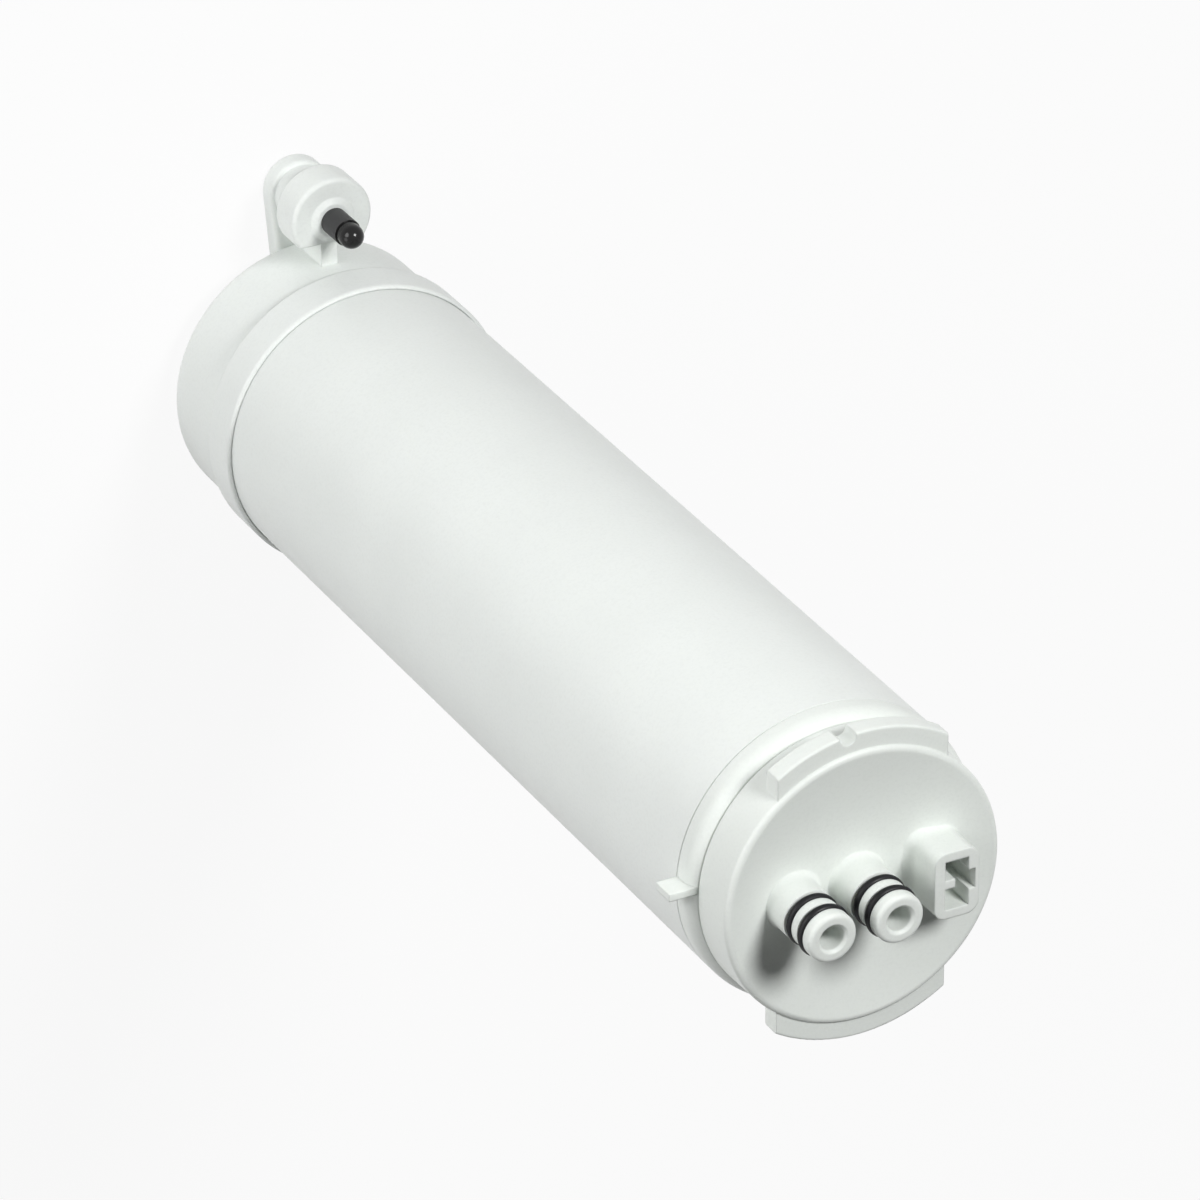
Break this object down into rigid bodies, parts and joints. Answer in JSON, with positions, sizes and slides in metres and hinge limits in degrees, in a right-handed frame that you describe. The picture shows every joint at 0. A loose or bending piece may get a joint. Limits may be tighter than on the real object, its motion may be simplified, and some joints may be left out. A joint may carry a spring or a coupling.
{
  "type": "water filter cartridge",
  "caption": "Sealed inline water filter cartridge with twin sealed port nozzles, a coding socket, bayonet lugs and a rear locating pin on a bracket.",
  "frame": {"origin": "centre of the flat rear face that the cartridge stands on", "axes": "+Z along the axis from the rear face to the port nozzles, +Y to the pin bracket and the notched lug, +X to the coding socket"},
  "size_m": [0.0718, 0.0893, 0.2738],
  "materials": {
    "white_body": "satin moulded polypropylene",
    "white_cap": "satin moulded polypropylene",
    "white_head": "fine moulded grain",
    "black_pin": "dark shank with a polished tip",
    "black_seal": "greased seal rubber",
    "carbon": "pressed activated carbon",
    "wrap_cloth": "non-woven sediment wrap",
    "natural_net": "natural polymer net",
    "natural_cap": "natural polymer moulding"
  },
  "bodies": {
    "root": {"body_tube": "white_body", "rear_cap": "white_cap", "port_head": "white_head", "locating_pin": "black_pin", "inlet_seal_rear": "black_seal", "inlet_seal_front": "black_seal", "outlet_seal_rear": "black_seal", "outlet_seal_front": "black_seal", "carbon_block": "carbon", "sediment_wrap": "wrap_cloth", "outer_net": "natural_net", "element_rear_cap": "natural_cap", "element_front_cap": "natural_cap", "nipple_seal_inner": "black_seal", "nipple_seal_outer": "black_seal"}
  },
  "joints": []
}
